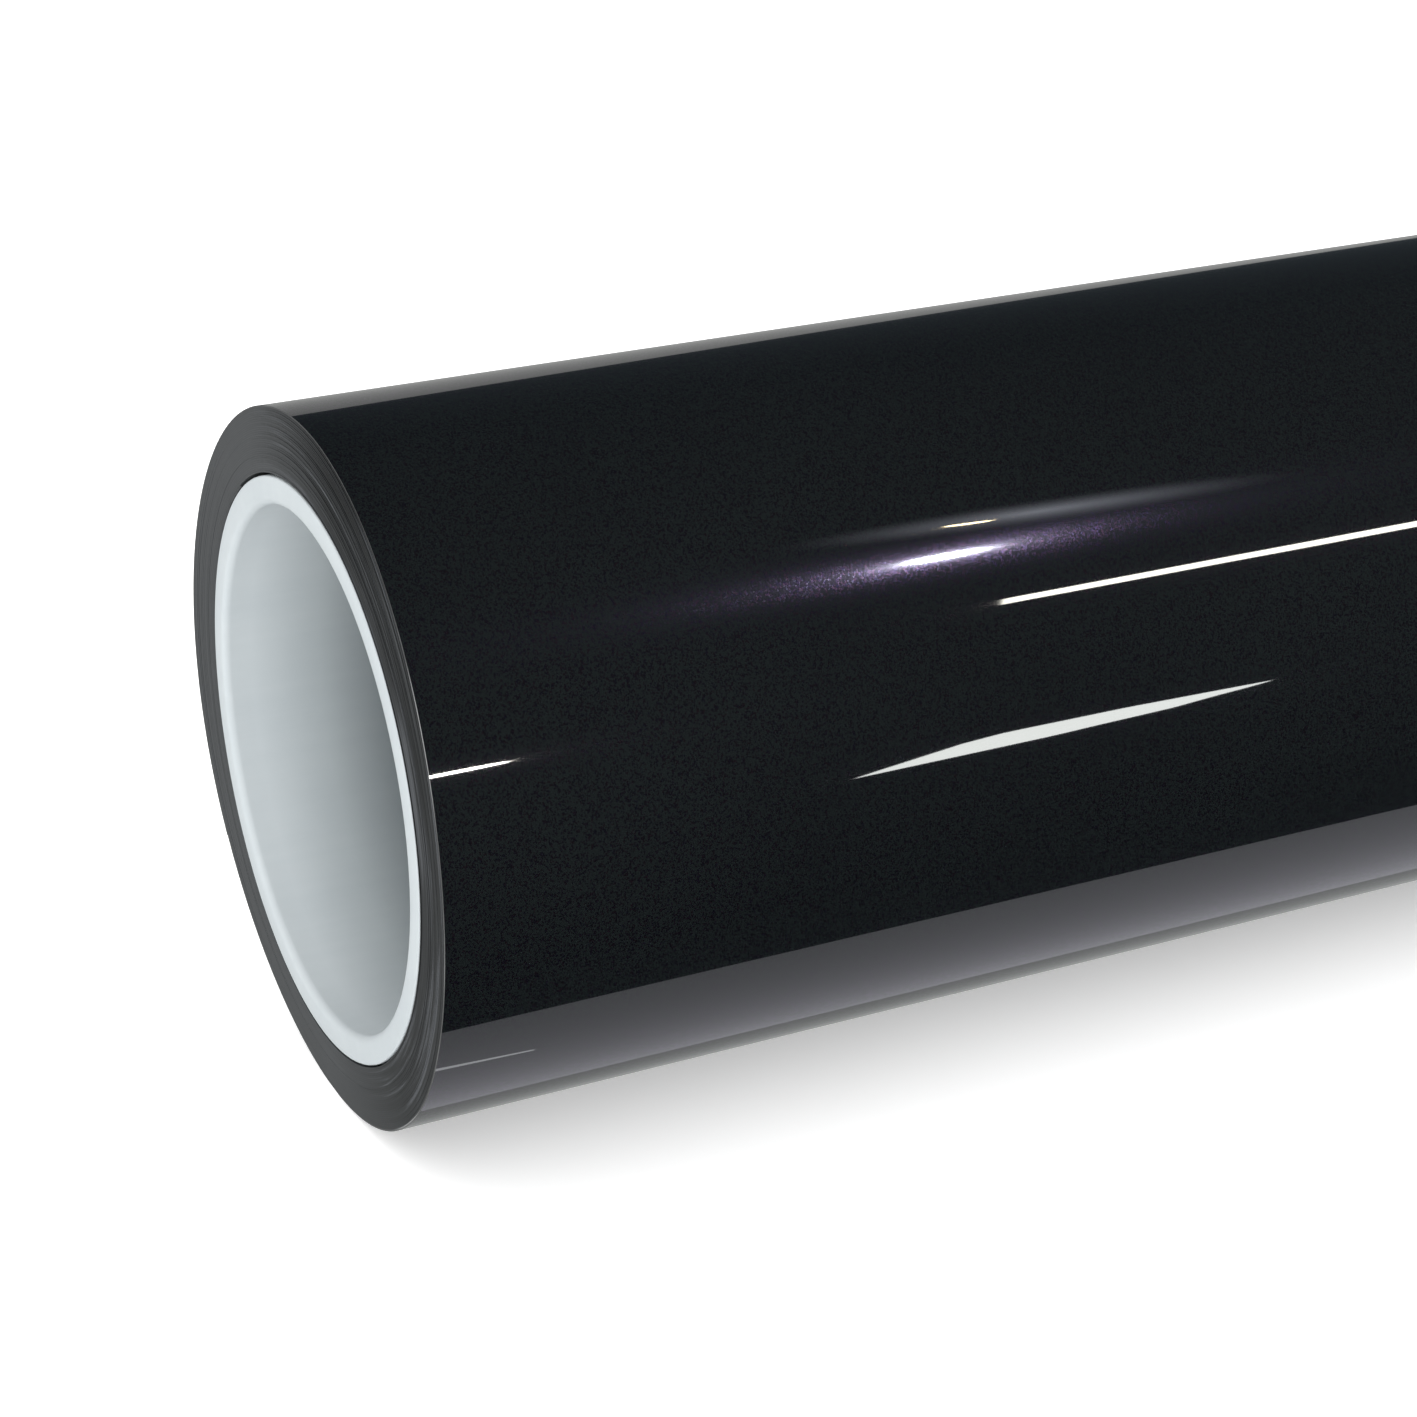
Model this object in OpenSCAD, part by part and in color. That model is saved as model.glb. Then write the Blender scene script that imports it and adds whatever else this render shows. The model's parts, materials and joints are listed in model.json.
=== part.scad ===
// A roll of sign vinyl: a plastic core, and a web of release liner, adhesive, film and clear coat wound on it.
// The roll lies on z = 0 with its axis along X. The origin is at the bottom centre of its box.
// Each layer of the web is one true spiral, made of arcs whose centres step round a small regular polygon.

/* [Core] */
// Bore of the core, which a spindle or a chuck fits
core_bore = 76.2; // [38:0.1:160]
// Wall of the core tube
core_wall = 4.2; // [2.5:0.1:10]
// Chamfer at each mouth of the bore
core_chamfer = 1.2; // [0.2:0.1:2]
// How far the core stands out past the web at each end
core_proud = 0.4; // [0:0.1:5]

/* [Web] */
// Width of the web, along the roll
web_width = 610; // [100:1:1600]
// Length of the web, to the nearest whole turn
web_length = 9144; // [2000:1:15000]

/* [Layers] */
// Thickness of the release liner, the innermost layer of each turn
liner_t = 0.15; // [0.1:0.01:0.3]
// Thickness of the adhesive on the back of the film
adhesive_t = 0.03; // [0.02:0.005:0.1]
// Thickness of the coloured vinyl film
film_t = 0.08; // [0.05:0.01:0.2]
// Thickness of the clear coat on the face of the film
coat_t = 0.04; // [0.02:0.005:0.1]

/* [Core tape] */
// Thickness of the tape that holds the first turn to the core
core_tape_t = 0.15; // [0.05:0.01:0.3]
// How far that tape reaches round the core
core_tape_w = 25; // [10:1:50]

/* [Tail] */
// Angle from the top of the roll, toward the back, where the free tail starts
tail_start = 35; // [30:1:60]
// Length of web that lies free round the back
tail_length = 81; // [50:1:90]
// Gap between the resting tail and the turn under it
tail_gap = 0.08; // [0.04:0.01:0.3]
// Gap between one strip of the tail and the next
strip_gap = 0.1; // [0.05:0.01:0.3]

/* [Closing tape] */
// Thickness of the tape tabs that hold the tail down
tab_t = 0.05; // [0.03:0.01:0.2]
// Width of a tab, along the roll
tab_w = 24; // [10:1:60]
// How far a tab reaches over the tail
tab_over_tail = 10; // [5:1:14]
// How far a tab reaches past the tail's end
tab_past_tail = 14; // [5:1:30]
// Distance from each end of the web to the middle of the outer tabs
tab_inset = 60; // [20:1:200]

/* [Hidden] */
STRIPS = 5;
FLATS = 10;
$fn = 96;

// The web's layers, from the core outward: where each starts within a turn, and how thick it is
liner = [0, liner_t];
adhesive = [liner_t, adhesive_t];
film = [liner_t + adhesive_t, film_t];
coat = [liner_t + adhesive_t + film_t, coat_t];
pitch = liner_t + adhesive_t + film_t + coat_t;

// The spiral's arcs: how far each one grows, and the centre that each arc of a turn is drawn about
ARCS = 8;
arc_sweep = 360 / ARCS;
arc_growth = pitch / ARCS;
centres = [for (i = [0 : ARCS - 1]) -arc_growth * sum_of([for (j = [1 : 1 : i]) unit(j * arc_sweep)])];

// The radii that the web winds between
core_r = core_bore / 2 + core_wall;
start_r = core_r + core_tape_t;
wound_length = web_length - tail_length;
turns = round((sqrt(pow(start_r, 2) + wound_length * pitch / PI) - start_r) / pitch);
wound_r = start_r + turns * pitch;
tail_r = wound_r + tail_gap;
tail_top_r = tail_r + pitch;
core_length = web_width + 2 * core_proud;

// The height of the axis, which puts the lowest point of the last turn at z = 0
low_angle = 180 - tail_start;
low_arc = floor(low_angle / arc_sweep);
axis_z = wound_r + low_arc * arc_growth + centres[low_arc] * unit(low_angle);

// Angles round the axis, from the line where the tail starts
tail_sweep = arc_angle(tail_length, tail_top_r);
strip_sweep = tail_sweep / STRIPS;
half_gap = arc_angle(strip_gap, tail_top_r) / 2;

// The unit vector at this angle
function unit(angle) = [cos(angle), sin(angle)];

// The sum of a list of 2D vectors, which is zero for an empty list
function sum_of(list, i = 0) = i < len(list) ? list[i] + sum_of(list, i + 1) : [0, 0];

// The angle that an arc of this length takes at this radius
function arc_angle(length, r) = length / r * 180 / PI;

// Turns a shape that is drawn round Z to lie round the roll's axis, with angle 0 at the tail's start.
// Angles run over the back and down, and Z of the drawing becomes X.
module round_the_axis() {
    translate([0, 0, axis_z])
        rotate([90, 0, 90])
            rotate([0, 0, 90 - tail_start])
                mirror([0, 1, 0])
                    children();
}

// A curved slab between two radii, from one angle to another
module arc_slab(r_in, r_out, from, to, length) {
    rotate_extrude(start = from, angle = to - from)
        translate([r_in, -length / 2])
            square([r_out - r_in, length]);
}

// One layer of the wound web, as a spiral of arcs
module wound_layer(layer) {
    round_the_axis()
        for (i = [0 : turns * ARCS - 1]) {
            r = start_r + i * arc_growth + layer[0];
            from = (i % ARCS) * arc_sweep;
            translate(centres[i % ARCS])
                arc_slab(r, r + layer[1], from, from + arc_sweep, web_width);
        }
}

// One layer of one strip of the tail, bent in flats so narrow that the thinnest layer keeps its thickness
module tail_layer(layer, strip) {
    from = (strip - 1) * strip_sweep + half_gap;
    to = strip * strip_sweep - (strip < STRIPS ? half_gap : 0);
    r = tail_r + layer[0];
    inner = [for (i = [0 : FLATS]) r * unit(from + (to - from) * i / FLATS)];
    outer = [for (i = [FLATS : -1 : 0]) (r + layer[1]) * unit(from + (to - from) * i / FLATS)];
    round_the_axis()
        linear_extrude(height = web_width, center = true)
            polygon(concat(inner, outer));
}

module core() {
    mouth_r = core_bore / 2 + core_chamfer;
    half = core_length / 2;
    color("white")
        translate([0, 0, axis_z])
            rotate([90, 0, 90])
                difference() {
                    cylinder(h = core_length, r = core_r, center = true);
                    cylinder(h = core_length + 2, r = core_bore / 2, center = true);
                    for (end = [0, 1])
                        mirror([0, 0, end])
                            translate([0, 0, half - core_chamfer])
                                cylinder(h = 2 * core_chamfer, r1 = core_bore / 2, r2 = mouth_r + core_chamfer);
                }
}

module core_tape() {
    color("gold")
        round_the_axis()
            arc_slab(core_r, start_r, 0, arc_angle(core_tape_w, core_r), web_width);
}

module release_liner() {
    color("ivory") wound_layer(liner);
}

module adhesive() {
    color("lightgray") wound_layer(adhesive);
}

module vinyl_film() {
    color([0.09, 0.09, 0.11]) wound_layer(film);
}

module clear_coat() {
    color([0.2, 0.2, 0.24]) wound_layer(coat);
}

module liner_tail(strip) {
    color("ivory") tail_layer(liner, strip);
}

module adhesive_tail(strip) {
    color("lightgray") tail_layer(adhesive, strip);
}

module film_tail(strip) {
    color([0.09, 0.09, 0.11]) tail_layer(film, strip);
}

module coat_tail(strip) {
    color([0.2, 0.2, 0.24]) tail_layer(coat, strip);
}

// Three tabs of tape, which step down from the tail's face to just above the turn under it
module tail_tape() {
    over = arc_angle(tab_over_tail, tail_top_r);
    step = arc_angle(tab_t, tail_top_r);
    past = arc_angle(tab_past_tail, tail_top_r);
    outer = web_width / 2 - tab_inset;
    color("whitesmoke")
        round_the_axis()
            for (x = [-outer, 0, outer])
                translate([0, 0, x]) {
                    arc_slab(tail_top_r, tail_top_r + tab_t, tail_sweep - over, tail_sweep + step, tab_w);
                    arc_slab(tail_r, tail_top_r + tab_t, tail_sweep, tail_sweep + step, tab_w);
                    arc_slab(tail_r, tail_r + tab_t, tail_sweep, tail_sweep + past, tab_w);
                }
}

core();
core_tape();
release_liner();
adhesive();
vinyl_film();
clear_coat();
for (strip = [1 : STRIPS]) {
    liner_tail(strip);
    adhesive_tail(strip);
    film_tail(strip);
    coat_tail(strip);
}
tail_tape();
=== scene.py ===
import json
import math
import random

import bpy
import numpy as np
from mathutils import Matrix, Vector


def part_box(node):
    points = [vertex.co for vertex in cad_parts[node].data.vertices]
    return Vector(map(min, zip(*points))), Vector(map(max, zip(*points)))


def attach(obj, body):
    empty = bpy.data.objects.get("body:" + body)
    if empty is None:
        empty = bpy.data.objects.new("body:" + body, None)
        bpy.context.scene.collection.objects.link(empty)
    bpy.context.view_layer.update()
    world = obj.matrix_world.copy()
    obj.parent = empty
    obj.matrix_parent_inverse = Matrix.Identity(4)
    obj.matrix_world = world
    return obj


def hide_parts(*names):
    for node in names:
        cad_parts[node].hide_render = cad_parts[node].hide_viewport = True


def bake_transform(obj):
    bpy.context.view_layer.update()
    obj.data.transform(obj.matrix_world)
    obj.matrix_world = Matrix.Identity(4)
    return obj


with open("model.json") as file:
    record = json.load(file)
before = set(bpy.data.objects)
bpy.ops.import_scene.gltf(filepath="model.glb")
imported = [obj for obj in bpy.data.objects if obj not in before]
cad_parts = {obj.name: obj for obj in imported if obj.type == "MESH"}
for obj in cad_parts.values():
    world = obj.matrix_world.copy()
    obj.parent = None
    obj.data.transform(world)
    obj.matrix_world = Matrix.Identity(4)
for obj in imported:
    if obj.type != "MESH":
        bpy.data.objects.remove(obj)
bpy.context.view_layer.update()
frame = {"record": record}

MM = 0.001

# ---------------------------------------------------------------- the roll's sizes, in metres
mounts = {m["name"]: m for m in frame["record"]["mounts"]}
AXIS_Z = mounts["core_bore"]["pos_m"][2]
BORE_R = mounts["core_bore"]["dims"]["r_mm"] * MM
WEB_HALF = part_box("release_liner")[1].x
# The tube stands 0.1 mm past the web here and 0.4 mm in the frame, so that little of its outer wall shows
CORE_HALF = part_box("core")[1].x - 0.3 * MM
CORE_WALL = 4.2 * MM
CORE_R = BORE_R + CORE_WALL
TAPE_T = 0.15 * MM
START_R = CORE_R + TAPE_T

# The layers of the web: where each starts within a turn, and how thick it is
LAYERS = {
    "liner": (0.0, 0.15 * MM),
    "adhesive": (0.15 * MM, 0.03 * MM),
    "film": (0.18 * MM, 0.08 * MM),
    "coat": (0.26 * MM, 0.04 * MM),
}
WOUND_NODE = {
    "liner": "release_liner",
    "adhesive": "adhesive",
    "film": "vinyl_film",
    "coat": "clear_coat",
}
PITCH = 0.30 * MM
TURNS = 31
TAIL_START = 35.0
STRIPS = 5
TAIL_LENGTH = 81 * MM
# How far the tail stands off the turn under it in the frame
TAIL_GAP = 0.08 * MM
TAIL_SWEEP = math.degrees(TAIL_LENGTH / (START_R + TURNS * PITCH + TAIL_GAP + PITCH))
STRIP_SWEEP = TAIL_SWEEP / STRIPS
TURN_STATIONS = 240
TAIL_STATIONS = 480

# How far the outermost turn's left edge has slid in: its mean, and its swing between the sides and the top
SLIDE_MEAN = 0.35 * MM
SLIDE_SWING = 0.62 * MM

# From this angle on a strip is the outermost turn, whose side edges have their own material, with a painted
# highlight on the side toward -Y
OUTERMOST_FROM = -340.0

# The metal flake in the film: how many cells to a metre, the share that are flakes, and how far they tilt
FLAKE_CELLS = 5600.0
FLAKE_SHARE = 0.34
FLAKE_TILT = 0.014


# ---------------------------------------------------------------- places on the spiral
def place(angle, r, x):
    """A point at this angle down the back from the tail's start, at radius r and at x along the roll."""
    phi = math.radians(90.0 - TAIL_START - angle)
    return (x, r * math.cos(phi), AXIS_Z + r * math.sin(phi))


def inner_radius(angle):
    """The radius where the turn at this angle starts. Angle 0 is the tail's start, and the wound web's
    angles are negative."""
    return START_R + PITCH * (TURNS + angle / 360.0)


def end_shift(angle):
    """How far the turns' left edge sits in from the end. Outer turns have slid in at the top and bottom."""
    share = min(1.0, max(0.0, (TURNS + angle / 360.0) / TURNS))
    phi = math.radians(90.0 - TAIL_START - angle)
    return share * share * (SLIDE_MEAN - SLIDE_SWING * math.cos(2 * phi))


class EdgeDrift:
    """How far the edge of the web strays along the roll, as turns never wind on exactly in line."""

    def __init__(self, seed, slow=0.06 * MM, fast=0.03 * MM):
        rng = random.Random(seed)
        self.slow = [(rng.uniform(0.04, 0.5), rng.uniform(0, math.tau)) for _ in range(7)]
        self.fast = [rng.uniform(-1, 1) for _ in range(TURNS + 4)]
        self.slow_size, self.fast_size = slow, fast

    def at(self, angle):
        turn = TURNS + angle / 360.0
        slow = sum(math.sin(math.tau * f * turn + p) for f, p in self.slow) / len(self.slow)
        i = max(0, min(TURNS + 2, int(turn)))
        t = turn - i
        fast = self.fast[i] * (1 - t) + self.fast[i + 1] * t
        return self.slow_size * slow + self.fast_size * fast


left_drift = EdgeDrift(11)
right_drift = EdgeDrift(12)


# ---------------------------------------------------------------- mesh helpers
def mesh_object(name, verts, faces, uvs=None, face_slots=None, sharp=35.0):
    mesh = bpy.data.meshes.new(name)
    mesh.from_pydata(verts, [], faces)
    if uvs is not None:
        layer = mesh.uv_layers.new(name="UVMap")
        flat = np.array([uv for face in uvs for uv in face], np.float32).ravel()
        layer.data.foreach_set("uv", flat)
    if face_slots is not None:
        mesh.polygons.foreach_set("material_index", np.array(face_slots, np.int32))
    mesh.polygons.foreach_set("use_smooth", np.ones(len(faces), bool))
    mesh.set_sharp_from_angle(angle=math.radians(sharp))
    mesh.validate()
    mesh.update()
    obj = bpy.data.objects.new(name, mesh)
    bpy.context.scene.collection.objects.link(obj)
    return obj


def web_strip(name, layer, first, last, per_turn=TURN_STATIONS):
    """One layer of the web between two angles, as a closed strip. Material slot 0 is its outer face, 2 the
    side edges of the outermost turn, which carry a painted highlight, and 1 the rest."""
    start, thick = LAYERS[layer]
    count = max(2, round((last - first) / 360.0 * per_turn))
    verts, faces, uvs, slots = [], [], [], []
    for i in range(count + 1):
        angle = first + (last - first) * i / count
        r_in = inner_radius(angle) + start
        x0 = -WEB_HALF + end_shift(angle) + left_drift.at(angle)
        x1 = WEB_HALF + right_drift.at(angle)
        verts += [place(angle, r_in, x0), place(angle, r_in + thick, x0)]
        verts += [place(angle, r_in + thick, x1), place(angle, r_in, x1)]
    for i in range(count):
        a, b = 4 * i, 4 * i + 4
        u0 = math.radians(first + (last - first) * i / count) * inner_radius(first)
        u1 = math.radians(first + (last - first) * (i + 1) / count) * inner_radius(first)
        v0, v1 = 0.0, 2 * WEB_HALF
        faces.append((a + 1, a + 2, b + 2, b + 1))
        uvs.append([(u0, v0), (u0, v1), (u1, v1), (u1, v0)])
        slots.append(0)
        outermost = first + (last - first) * i / count > OUTERMOST_FROM
        for j, k in ((0, 1), (2, 3), (3, 0)):
            faces.append((a + j, a + k, b + k, b + j))
            uvs.append([(u0, v0), (u0, v0 + thick), (u1, v0 + thick), (u1, v0)])
            slots.append(2 if outermost and j != 3 else 1)
    end = 4 * count
    faces += [(0, 3, 2, 1), (end, end + 1, end + 2, end + 3)]
    uvs += [[(0, 0), (0, 1), (1, 1), (1, 0)]] * 2
    slots += [1, 1]
    return mesh_object(name, verts, faces, uvs, slots)


def turned(name, profile, segments=256):
    """A closed ring turned round the roll's axis from (radius, x) points in order round its section."""
    n = len(profile)
    verts, faces, uvs = [], [], []
    for i in range(segments):
        verts += [place(360.0 * i / segments, r, x) for r, x in profile]
    for i in range(segments):
        a, b = n * i, n * ((i + 1) % segments)
        for j in range(n):
            k = (j + 1) % n
            faces.append((a + j, b + j, b + k, a + k))
            u0, u1 = i / segments, (i + 1) / segments
            uvs.append([(u0, j / n), (u1, j / n), (u1, (j + 1) / n), (u0, (j + 1) / n)])
    return mesh_object(name, verts, faces, uvs)


def quarter(cx, cr, radius, start, steps=6):
    """Points of a quarter round in a turned profile, as (radius, x)."""
    out = []
    for i in range(steps + 1):
        a = math.radians(start + 90.0 * i / steps)
        out.append((cr + radius * math.sin(a), cx + radius * math.cos(a)))
    return out


# ---------------------------------------------------------------- material helpers
class Tree:
    """A short way to write a node tree."""

    def __init__(self, tree):
        self.tree = tree

    def add(self, kind, **values):
        node = self.tree.nodes.new(kind)
        for key, value in values.items():
            setattr(node, key, value)
        return node

    def link(self, out, into):
        self.tree.links.new(out, into)

    def math(self, operation, a, b=None, clamp=False):
        node = self.add("ShaderNodeMath", operation=operation, use_clamp=clamp)
        for i, v in enumerate((a, b)):
            if v is None:
                continue
            if isinstance(v, (int, float)):
                node.inputs[i].default_value = v
            else:
                self.link(v, node.inputs[i])
        return node.outputs[0]

    def mix(self, factor, a, b):
        node = self.add("ShaderNodeMix", data_type="RGBA")
        for socket, v in ((0, factor), (6, a), (7, b)):
            if isinstance(v, (int, float)):
                node.inputs[socket].default_value = v
            elif isinstance(v, tuple):
                node.inputs[socket].default_value = (*v, 1.0)
            else:
                self.link(v, node.inputs[socket])
        return node.outputs[2]

    def coords(self, kind="Object"):
        return self.add("ShaderNodeTexCoord").outputs[kind]

    def scaled(self, vector, scale):
        node = self.add("ShaderNodeMapping")
        self.link(vector, node.inputs["Vector"])
        node.inputs["Scale"].default_value = scale
        return node.outputs[0]

    def noise(self, vector, scale, detail=3.0, rough=0.55):
        node = self.add("ShaderNodeTexNoise")
        self.link(vector, node.inputs["Vector"])
        node.inputs["Scale"].default_value = scale
        node.inputs["Detail"].default_value = detail
        node.inputs["Roughness"].default_value = rough
        return node.outputs["Fac"]

    def ramp(self, fac, stops):
        node = self.add("ShaderNodeValToRGB")
        self.link(fac, node.inputs[0])
        ramp = node.color_ramp
        while len(ramp.elements) < len(stops):
            ramp.elements.new(0.5)
        for e, (pos, colour) in zip(ramp.elements, stops):
            e.position = pos
            e.color = (*colour, 1.0) if len(colour) == 3 else colour
        return node.outputs[0]


class Nodes(Tree):
    """A material's node tree, which ends in one Principled shader."""

    def __init__(self, name):
        self.mat = bpy.data.materials.new(name)
        self.mat.use_nodes = True
        super().__init__(self.mat.node_tree)
        self.bsdf = self.tree.nodes["Principled BSDF"]

    def set(self, **values):
        for key, value in values.items():
            self.bsdf.inputs[key.replace("_", " ")].default_value = value

    def bump(self, height, strength, distance, into="Normal"):
        node = self.add("ShaderNodeBump")
        node.inputs["Strength"].default_value = strength
        node.inputs["Distance"].default_value = distance
        self.link(height, node.inputs["Height"])
        self.link(node.outputs[0], self.bsdf.inputs[into])


# ---------------------------------------------------------------- materials
def film_material():
    """Near-black film with fine coloured metal flake, seen through a high-gloss clear coat."""
    n = Nodes("film_through_clear_coat")
    uv = n.coords("UV")
    fine = n.add("ShaderNodeTexVoronoi", voronoi_dimensions="2D")
    n.link(uv, fine.inputs["Vector"])
    fine.inputs["Scale"].default_value = FLAKE_CELLS
    split = n.add("ShaderNodeSeparateColor")
    n.link(fine.outputs["Color"], split.inputs[0])
    # Each flake is tilted a little, its own way, so that they don't all shine alike
    centred = n.add("ShaderNodeVectorMath", operation="SUBTRACT")
    n.link(fine.outputs["Color"], centred.inputs[0])
    centred.inputs[1].default_value = (0.5, 0.5, 0.5)
    tilt = n.add("ShaderNodeVectorMath", operation="SCALE")
    n.link(centred.outputs[0], tilt.inputs[0])
    tilt.inputs["Scale"].default_value = FLAKE_TILT
    geometry = n.add("ShaderNodeNewGeometry")
    tipped = n.add("ShaderNodeVectorMath", operation="ADD")
    n.link(geometry.outputs["Normal"], tipped.inputs[0])
    n.link(tilt.outputs[0], tipped.inputs[1])
    unit = n.add("ShaderNodeVectorMath", operation="NORMALIZE")
    n.link(tipped.outputs[0], unit.inputs[0])
    n.link(unit.outputs[0], n.bsdf.inputs["Normal"])
    # Some of the cells are flakes, and the rest are the dark film between them
    flake = n.math("GREATER_THAN", split.outputs[2], 1 - FLAKE_SHARE)
    tint = n.ramp(
        split.outputs[0],
        [
            (0.0, (0.0014, 0.0012, 0.0034)),
            (0.35, (0.0026, 0.0014, 0.0032)),
            (0.6, (0.0036, 0.0016, 0.0026)),
            (0.8, (0.0018, 0.0018, 0.0034)),
            (1.0, (0.0030, 0.0026, 0.0034)),
        ],
    )
    cloud = n.noise(n.scaled(uv, (30.0, 12.0, 1.0)), 1.0, 4.0)
    ground = n.ramp(cloud, [(0.3, (0.0034, 0.0045, 0.0046)), (0.7, (0.0041, 0.0054, 0.0055))])
    n.link(n.mix(flake, ground, tint), n.bsdf.inputs["Base Color"])
    n.link(n.math("MULTIPLY", flake, 0.30), n.bsdf.inputs["Metallic"])
    # The finest flakes are too small to tell apart, and together give one soft violet sheen
    n.set(Roughness=0.158, Specular_IOR_Level=0.0046, Specular_Tint=(0.86, 0.64, 1.0, 1.0))
    n.set(Coat_Weight=1.0, Coat_Roughness=0.025, Coat_IOR=1.5)
    # The coat itself is very slightly uneven, as liner and film print through it
    height = n.noise(n.scaled(uv, (9.0, 30.0, 1.0)), 1.0, 2.0)
    n.bump(height, 0.05, 0.0006, "Coat Normal")
    return n.mat


def edge_material(name, tone, painted_side_tone, specular=0.28):
    """The cut edge of one layer: even grey, and on the side toward -Y a painted side tone with streaks round
    the roll.
    The side tone is painted shade on the layers' edges and a painted highlight on the outermost turn's edge,
    and its lighter streaks are painted glints off the layered edge."""
    n = Nodes(name)
    where = n.add("ShaderNodeVectorMath", operation="SUBTRACT")
    n.link(n.coords("Object"), where.inputs[0])
    where.inputs[1].default_value = (0.0, 0.0, AXIS_Z)
    flat = n.add("ShaderNodeVectorMath", operation="MULTIPLY")
    n.link(where.outputs[0], flat.inputs[0])
    flat.inputs[1].default_value = (0.0, 1.0, 1.0)
    length = n.add("ShaderNodeVectorMath", operation="LENGTH")
    n.link(flat.outputs[0], length.inputs[0])
    direction = n.add("ShaderNodeVectorMath", operation="NORMALIZE")
    n.link(flat.outputs[0], direction.inputs[0])
    split = n.add("ShaderNodeSeparateXYZ")
    n.link(direction.outputs[0], split.inputs[0])
    # Circles round the axis, which come and go slowly round the turn
    rings = n.add("ShaderNodeCombineXYZ")
    n.link(n.math("MULTIPLY", length.outputs["Value"], 1100.0), rings.inputs[0])
    n.link(n.math("MULTIPLY", split.outputs[1], 1.4), rings.inputs[1])
    n.link(n.math("MULTIPLY", split.outputs[2], 1.4), rings.inputs[2])
    streak = n.noise(rings.outputs[0], 1.0, 3.0, 0.6)
    # The side toward -Y, with the top's front half, which takes the painted side tone
    front = n.math("MULTIPLY", split.outputs[1], -0.95)
    across = n.math("ADD", front, n.math("MULTIPLY", split.outputs[2], 0.22))
    side = n.ramp(n.math("ADD", n.math("MULTIPLY", across, 0.5), 0.5), [(0.40, (0, 0, 0)), (0.74, (1, 1, 1))])
    # The painted side tone, darker and lighter in streaks round the axis: painted shade with painted glints
    # off the layered edge
    painted_side_streaks = n.ramp(
        streak,
        [
            (0.36, tuple(0.5 * c for c in painted_side_tone)),
            (0.54, painted_side_tone),
            (0.62, tuple(3.4 * c for c in painted_side_tone)),
        ],
    )
    fine = n.noise(n.scaled(n.coords("Object"), (500.0, 500.0, 500.0)), 1.0, 2.0)
    even = n.ramp(fine, [(0.3, tuple(0.97 * c for c in tone)), (0.7, tuple(1.03 * c for c in tone))])
    n.link(n.mix(side, even, painted_side_streaks), n.bsdf.inputs["Base Color"])
    n.set(Roughness=0.42, Specular_IOR_Level=specular)
    n.bump(streak, 0.2, 0.0001)
    return n.mat


# How deep in the bore the painted shade reaches its darkest
PAINTED_SHADE_DEPTH = 44 * MM


def core_material():
    """White extruded plastic, with faint lines along the tube, and painted shade: a little darker at the
    tube's end, then darker and darker deeper in the bore.
    """
    n = Nodes("core_plastic")
    where = n.coords("Object")
    lines = n.noise(n.scaled(where, (6.0, 420.0, 420.0)), 1.0, 3.0)
    mottle = n.noise(n.scaled(where, (60.0, 60.0, 60.0)), 1.0, 5.0)
    shade = n.math("ADD", n.math("MULTIPLY", lines, 0.35), n.math("MULTIPLY", mottle, 0.65))
    colour = n.ramp(shade, [(0.35, (0.445, 0.484, 0.502)), (0.65, (0.475, 0.513, 0.528))])
    # Painted shade: the colour darkens deeper in the bore, away from the mouths, and dips a little right at
    # the tube's end
    parts = n.add("ShaderNodeSeparateXYZ")
    n.link(where, parts.inputs[0])
    inward = n.math("SUBTRACT", CORE_HALF, n.math("ABSOLUTE", parts.outputs[0]))
    depth = n.math("DIVIDE", inward, PAINTED_SHADE_DEPTH, clamp=True)
    bore_painted_shade = n.ramp(
        depth,
        [
            (0.0, (0.90, 0.90, 0.90)),
            (0.10, (0.965, 0.965, 0.965)),
            (0.34, (0.78, 0.79, 0.79)),
            (0.57, (0.44, 0.455, 0.46)),
            (1.0, (0.24, 0.25, 0.255)),
        ],
    )
    both = n.add("ShaderNodeMix", data_type="RGBA", blend_type="MULTIPLY")
    both.inputs[0].default_value = 1.0
    n.link(colour, both.inputs[6])
    n.link(bore_painted_shade, both.inputs[7])
    n.link(both.outputs[2], n.bsdf.inputs["Base Color"])
    n.link(n.math("ADD", n.math("MULTIPLY", mottle, 0.12), 0.36), n.bsdf.inputs["Roughness"])
    n.set(Specular_IOR_Level=0.4)
    n.bump(lines, 0.12, 0.0003)
    return n.mat


def tape_material(name, colour, alpha):
    """Thin tape, with fine marks from its backing."""
    n = Nodes(name)
    where = n.coords("Object")
    marks = n.noise(n.scaled(where, (300.0, 300.0, 300.0)), 1.0, 4.0)
    darker = tuple(c * 0.85 for c in colour)
    n.link(n.ramp(marks, [(0.35, darker), (0.65, colour)]), n.bsdf.inputs["Base Color"])
    n.link(n.math("ADD", n.math("MULTIPLY", marks, 0.2), 0.12), n.bsdf.inputs["Roughness"])
    n.set(Alpha=alpha)
    n.bump(marks, 0.15, 0.0001)
    return n.mat


FILM = film_material()
# Each layer's edge: the second tone is painted shade on the side toward -Y
EDGE = {
    "liner": edge_material("liner_edge", (0.050, 0.053, 0.056), (0.017, 0.018, 0.020)),
    "adhesive": edge_material("adhesive_edge", (0.044, 0.046, 0.049), (0.016, 0.017, 0.019)),
    "film": edge_material("film_edge", (0.034, 0.036, 0.038), (0.010, 0.011, 0.012)),
    "coat": edge_material("coat_edge", (0.046, 0.048, 0.051), (0.016, 0.017, 0.019)),
}
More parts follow.
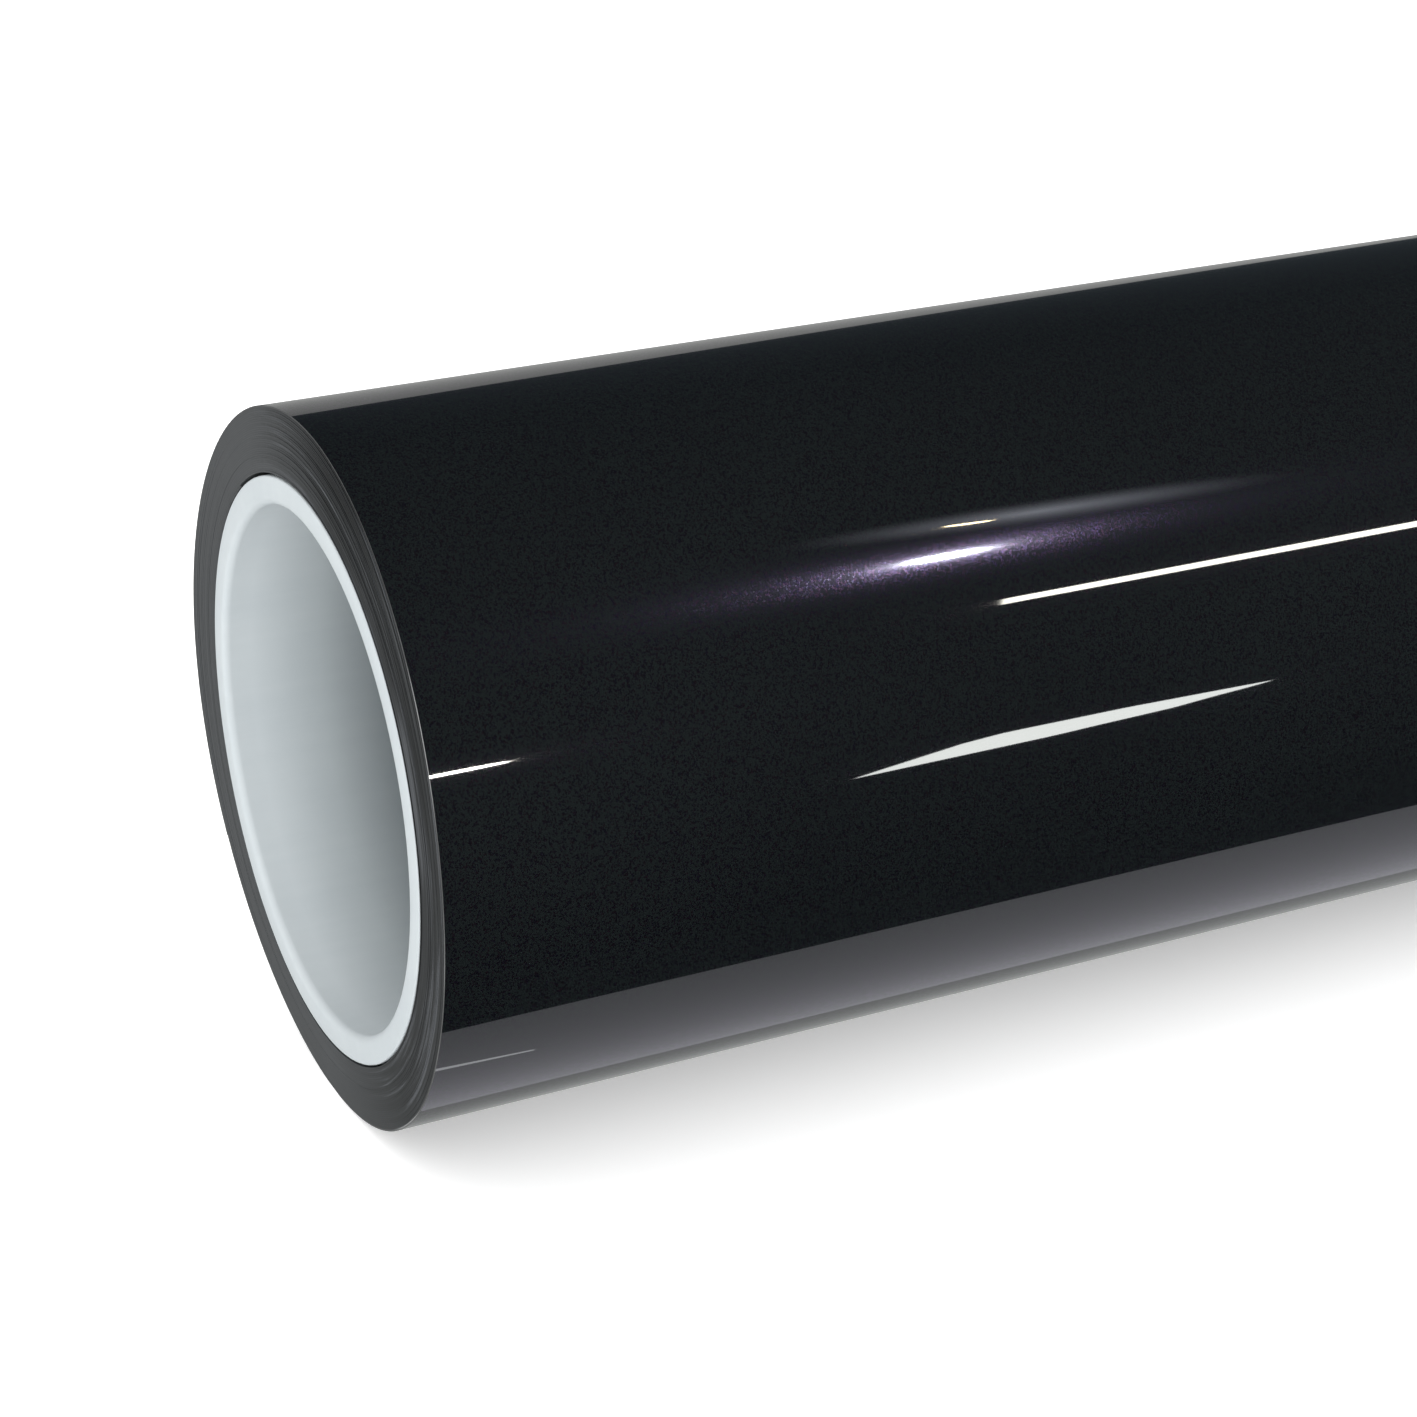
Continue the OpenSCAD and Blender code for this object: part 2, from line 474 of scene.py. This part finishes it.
# The outermost turn's edge: its side toward -Y is lighter, a painted highlight along the outer rim
RIM_EDGE_PAINTED_HIGHLIGHT = edge_material("outer_turn_edge_painted_highlight", (0.046, 0.048, 0.050), (0.070, 0.071, 0.071))
CORE = core_material()
CORE_TAPE = tape_material("core_tape_amber", (0.55, 0.42, 0.16), 1.0)
CLEAR_TAPE = tape_material("closing_tape_clear", (0.34, 0.36, 0.37), 0.10)


def finish_web(obj, layer):
    """Gives a piece of web its materials."""
    obj.data.materials.append(FILM if layer in ("coat", "film") else EDGE[layer])
    obj.data.materials.append(EDGE[layer])
    obj.data.materials.append(RIM_EDGE_PAINTED_HIGHLIGHT)


# ---------------------------------------------------------------- the wound web
half_strip = STRIP_SWEEP / 2
for layer, node in WOUND_NODE.items():
    wound = web_strip("wound_" + layer, layer, -360.0 * TURNS, -half_strip)
    finish_web(wound, layer)
    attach(wound, "root")
    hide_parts(node)

# ---------------------------------------------------------------- the tail, as five spans and a tip; only the tip is attached, to the last tail body
BODIES = ["root"] + [f"tail_{k}" for k in range(1, STRIPS + 1)]
for layer in LAYERS:
    for k in range(1, STRIPS + 1):
        hinge = (k - 1) * STRIP_SWEEP
        span = web_strip(f"tail_{layer}_{k}", layer, hinge - half_strip, hinge + half_strip, TAIL_STATIONS)
        finish_web(span, layer)
        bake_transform(span)
        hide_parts(f"{layer}_tail_{k}")
    tip = web_strip(f"tail_{layer}_tip", layer, TAIL_SWEEP - half_strip, TAIL_SWEEP, TAIL_STATIONS)
    finish_web(tip, layer)
    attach(tip, BODIES[-1])

# ---------------------------------------------------------------- the core
LIP = 1.2 * MM
RIM = 0.35 * MM
profile = []
profile += quarter(CORE_HALF - RIM, CORE_R - RIM, RIM, 0.0, 4)[::-1]
profile += [(r, x) for r, x in quarter(CORE_HALF - LIP, BORE_R + LIP, LIP, -90.0)[::-1]]
profile += [(r, -x) for r, x in quarter(CORE_HALF - LIP, BORE_R + LIP, LIP, -90.0)]
profile += [(r, -x) for r, x in quarter(CORE_HALF - RIM, CORE_R - RIM, RIM, 0.0, 4)]
core = turned("core_tube", profile)
core.data.materials.append(CORE)
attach(core, "root")
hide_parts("core")


# ---------------------------------------------------------------- tapes
def tape_patch(name, first, last, x0, x1, base, thick, steps, rise=lambda angle: 0.0):
    """A thin curved patch of tape that lies on radius base, stepped by rise."""
    verts, faces = [], []
    for i in range(steps + 1):
        angle = first + (last - first) * i / steps
        r = base(angle) + rise(angle)
        verts += [place(angle, r, x0), place(angle, r + thick, x0)]
        verts += [place(angle, r + thick, x1), place(angle, r, x1)]
    for i in range(steps):
        a, b = 4 * i, 4 * i + 4
        for j in range(4):
            k = (j + 1) % 4
            faces.append((a + j, a + k, b + k, b + j))
    end = 4 * steps
    faces += [(0, 3, 2, 1), (end, end + 1, end + 2, end + 3)]
    return mesh_object(name, verts, faces)


CORE_TAPE_W = 25 * MM
CORE_TAPE_INSET = 0.5 * MM
core_tape_sweep = math.degrees(CORE_TAPE_W / CORE_R)
core_tape = tape_patch(
    "core_tape_strip", 0.0, core_tape_sweep, -WEB_HALF + CORE_TAPE_INSET, WEB_HALF - CORE_TAPE_INSET,
    lambda angle: CORE_R, TAPE_T * 0.95, 40,
)
core_tape.data.materials.append(CORE_TAPE)
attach(core_tape, "root")
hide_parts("core_tape")

TAB_W = 24 * MM
TAB_INSET = 60 * MM
TAB_T = 0.05 * MM
TAB_OVER_TAIL = 10 * MM
TAB_PAST_TAIL = 14 * MM
RAMP_DEGREES = 0.9
LIFT = 0.004 * MM
over = math.degrees(TAB_OVER_TAIL / inner_radius(TAIL_SWEEP))
past = math.degrees(TAB_PAST_TAIL / inner_radius(TAIL_SWEEP))


def tab_base(angle):
    """The surface under a tab: the tail's face, then down a short ramp to the turn under it."""
    t = min(1.0, max(0.0, (angle - TAIL_SWEEP) / RAMP_DEGREES))
    t = t * t * (3 - 2 * t)
    return inner_radius(angle) + PITCH * (1 - t) + LIFT


for i, x in enumerate((-(WEB_HALF - TAB_INSET), 0.0, WEB_HALF - TAB_INSET)):
    tab = tape_patch(
        f"tail_tape_{i + 1}", TAIL_SWEEP - over, TAIL_SWEEP + past, x - TAB_W / 2, x + TAB_W / 2,
        tab_base, TAB_T, 96,
    )
    tab.data.materials.append(CLEAR_TAPE)
    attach(tab, BODIES[-1])
    if i == 0:
        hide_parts("tail_tape")

# ---------------------------------------------------------------- camera
TURN, RISE = math.radians(25.95), math.radians(24.02)
right = Vector((math.cos(TURN), -math.sin(TURN), 0.0))
forward = Vector((math.sin(TURN) * math.cos(RISE), math.cos(TURN) * math.cos(RISE), -math.sin(RISE)))
up = right.cross(forward)
camera_data = bpy.data.cameras.new("camera")
camera_data.lens = 82.05
camera_data.sensor_width = 36.0
camera_data.clip_start = 0.01
camera = bpy.data.objects.new("camera", camera_data)
bpy.context.scene.collection.objects.link(camera)
spot = Vector((-0.4352, -0.3962, 0.2458))
axes = Matrix((right, up, -forward)).transposed().to_4x4()
camera.matrix_world = Matrix.Translation(spot) @ axes
bpy.context.scene.camera = camera
bpy.context.scene.view_settings.view_transform = "Standard"


# ---------------------------------------------------------------- studio
def emitter(name, colour, strength, fading=False):
    """A glowing material. One that is fading dims from its middle out and lets the studio show through."""
    mat = bpy.data.materials.new(name)
    mat.use_nodes = True
    mat.node_tree.nodes.clear()
    n = Tree(mat.node_tree)
    out = n.add("ShaderNodeOutputMaterial")
    glow = n.add("ShaderNodeEmission")
    glow.inputs[0].default_value = (*colour, 1.0)
    glow.inputs[1].default_value = strength
    if not fading:
        n.link(glow.outputs[0], out.inputs[0])
        return mat
    fall = n.add("ShaderNodeTexGradient", gradient_type="QUADRATIC_SPHERE")
    n.link(n.coords("Object"), fall.inputs[0])
    n.link(n.math("MULTIPLY", fall.outputs["Fac"], strength), glow.inputs[1])
    both = n.add("ShaderNodeAddShader")
    n.link(glow.outputs[0], both.inputs[0])
    n.link(n.add("ShaderNodeBsdfTransparent").outputs[0], both.inputs[1])
    n.link(both.outputs[0], out.inputs[0])
    return mat


def only_seen(obj, camera=False, diffuse=False, glossy=False, shadow=False):
    """Which rays see this piece of the studio."""
    obj.visible_camera = camera
    obj.visible_diffuse = diffuse
    obj.visible_glossy = glossy
    obj.visible_transmission = glossy
    obj.visible_volume_scatter = False
    obj.visible_shadow = shadow


def card(name, corners, colour, strength, fading=False):
    """A glowing card that shows only in reflections."""
    mesh = bpy.data.meshes.new(name)
    mesh.from_pydata(corners, [], [tuple(range(len(corners)))])
    obj = bpy.data.objects.new(name, mesh)
    bpy.context.scene.collection.objects.link(obj)
    obj.data.materials.append(emitter(name, colour, strength, fading))
    only_seen(obj, glossy=True)
    return obj


def facing(middle, toward, along):
    """The place of something at middle that faces toward, with its long side along a direction."""
    z = (Vector(middle) - Vector(toward)).normalized()
    x = Vector(along) - z * z.dot(Vector(along))
    x.normalize()
    return Matrix.Translation(Vector(middle)) @ Matrix((x, z.cross(x), z)).transposed().to_4x4()


def area_light(name, middle, toward, along, size, power, colour=(1, 1, 1), shape="RECTANGLE", glossy=True,
               diffuse=True):
    """An area light at middle that faces toward, with its long side along a direction."""
    data = bpy.data.lights.new(name, "AREA")
    data.shape = shape
    data.size, data.size_y = size
    data.energy = power
    data.color = colour
    obj = bpy.data.objects.new(name, data)
    bpy.context.scene.collection.objects.link(obj)
    obj.matrix_world = facing(middle, toward, along)
    obj.visible_camera = False
    obj.visible_glossy = glossy
    obj.visible_diffuse = diffuse
    return obj


# Dome: a white surround that lights the matt surfaces and isn't reflected
DOME_STRENGTH = 1.6
bpy.ops.mesh.primitive_uv_sphere_add(segments=48, ring_count=24, radius=12.0)
dome = bpy.context.object
dome.name = "dome"
dome.data.materials.append(emitter("dome_white", (1.0, 1.0, 1.0), DOME_STRENGTH))
only_seen(dome, camera=True, diffuse=True)

# Floor
bpy.ops.mesh.primitive_circle_add(vertices=96, radius=11.0, fill_type="NGON")
floor = bpy.context.object
floor.name = "floor"
floor_nodes = Nodes("floor_pale")
floor_noise = floor_nodes.noise(floor_nodes.coords("Object"), 3.0, 2.0)
floor_nodes.link(
    floor_nodes.ramp(floor_noise, [(0.3, (0.93, 0.93, 0.93)), (0.7, (0.95, 0.95, 0.95))]),
    floor_nodes.bsdf.inputs["Base Color"],
)
# The floor's own faint glow lightens the shadow under the roll
floor_nodes.set(Roughness=0.9, Specular_IOR_Level=0.0)
floor_nodes.set(Emission_Color=(1.0, 1.0, 1.0, 1.0), Emission_Strength=0.28)
floor.data.materials.append(floor_nodes.mat)
only_seen(floor, camera=True, diffuse=True, shadow=True)

# World: what the gloss sees where there is no card, a dim blue-grey studio that is darker low at the back
world = bpy.data.worlds.new("studio")
world.use_nodes = True
sky = Tree(world.node_tree)
sky_parts = sky.add("ShaderNodeSeparateXYZ")
sky.link(sky.coords("Generated"), sky_parts.inputs[0])
sky_share = sky.add("ShaderNodeMapRange")
sky_share.inputs["From Min"].default_value = -0.1
sky_share.inputs["From Max"].default_value = 1.1
sky.link(sky.math("SUBTRACT", sky_parts.outputs[2], sky_parts.outputs[1]), sky_share.inputs[0])
sky_colour = sky.mix(sky_share.outputs[0], (0.033, 0.042, 0.048), (0.088, 0.102, 0.112))
sky.link(sky_colour, world.node_tree.nodes["Background"].inputs[0])
world.node_tree.nodes["Background"].inputs[1].default_value = 1.0
bpy.context.scene.world = world


# Lights that draw the highlights along the film. They show in the gloss alone
def lamp(name, middle, toward, along, size, radiance, colour=(1, 1, 1), shape="ELLIPSE"):
    """A lamp of the given radiance that only gloss reflects."""
    area = size[0] * size[1] * (math.pi / 4 if shape == "ELLIPSE" else 1)
    area_light(name, middle, toward, along, size, radiance * math.pi * area, colour, shape, diffuse=False)


lamp("lamp_main", (0.340, -0.647, 0.951), (-0.225, -0.040, 0.085), (0.055, -0.036, -0.049),
     (0.026, 0.020), 15000.0, colour=(0.95, 0.97, 1.12))
lamp("lamp_left", (0.18, -1.4, 0.5), (-0.3, -0.048, 0.072), (1, 0, 0),
     (0.07, 0.018), 260.0, colour=(1.0, 0.97, 0.88))
lamp("lamp_warm", (0.354, -0.491, 1.039), (-0.22, -0.037, 0.088), (0.027, -0.012, -0.018),
     (0.030, 0.007), 110.0, colour=(1.0, 0.80, 0.45))
lamp("strip_upper", (0.60, -0.810, 0.643), (-0.18, -0.044, 0.079), (0.204, 0.064, -0.057),
     (0.52, 0.033), 34.0, colour=(1.0, 0.97, 0.86), shape="RECTANGLE")

# A soft key light, which lights the matt surfaces and the near part of the bore
area_light("key", (-0.95, -1.7, 0.55), (-0.30, 0.03, 0.06), (1, 0, 0), (0.9, 0.9), 14.0, glossy=False)

# A card close in front, which draws the long pointed highlight low on the film
lens_middle = Vector((0.034, -0.482, 0.0085))
lens_along = Vector((0.137, 0.034, 0.016)).normalized()
lens_facing = (Vector((-0.22, -0.051, 0.061)) - lens_middle).normalized()
lens_up = lens_along.cross(lens_facing).normalized()
LENS_HALF, LENS_HIGH = 0.066, 0.034
LENS_OUTLINE = (
    (-1.0, -0.5), (-0.1, -0.56), (0.5, -0.42), (1.0, 0.0), (0.35, 0.36), (-0.25, 0.5), (-0.45, 0.36),
)
card("lens_front",
     [lens_middle + lens_along * (LENS_HALF * u) + lens_up * (LENS_HIGH * v) for u, v in LENS_OUTLINE],
     (0.97, 1.0, 0.97), 18.0)

# A dim, soft-edged panel beside the warm lamp
panel = card("panel_haze_card", [(-1, -1, 0), (1, -1, 0), (1, 1, 0), (-1, 1, 0)],
             (0.84, 0.88, 1.0), 4.0, fading=True)
panel_place = facing((0.39, -0.488, 1.030), (-0.20, -0.037, 0.088), (0.4, -0.15, -0.25))
panel.matrix_world = panel_place @ Matrix.Diagonal((0.16, 0.075, 1.0, 1.0))

# Cards that draw the grey bands at the film's top and bottom outlines
BACK_Y = 1.5
UNDER_Z = -0.4
LOW_Z = -0.39
card("card_back", [(-2.0, BACK_Y, -1.0), (2.9, BACK_Y, -1.0), (-2.0, BACK_Y, 1.65)], (0.98, 1.0, 0.98), 0.38)
for name, y0, y1, colour, strength in (
    ("card_under", -0.21, 0.17, (0.98, 1.0, 1.06), 0.70),
    ("card_under_far", 0.17, 2.0, (0.98, 1.02, 1.0), 0.38),
):
    card(name, [(-1.5, y0, UNDER_Z), (2.5, y0, UNDER_Z), (2.5, y1, UNDER_Z), (-1.5, y1, UNDER_Z)],
         colour, strength)
card("card_low_strip",
     [(-0.185, -0.073, LOW_Z), (-0.145, -0.049, LOW_Z), (-0.145, -0.044, LOW_Z), (-0.185, -0.060, LOW_Z)],
     (0.97, 1.0, 1.03), 2.6)
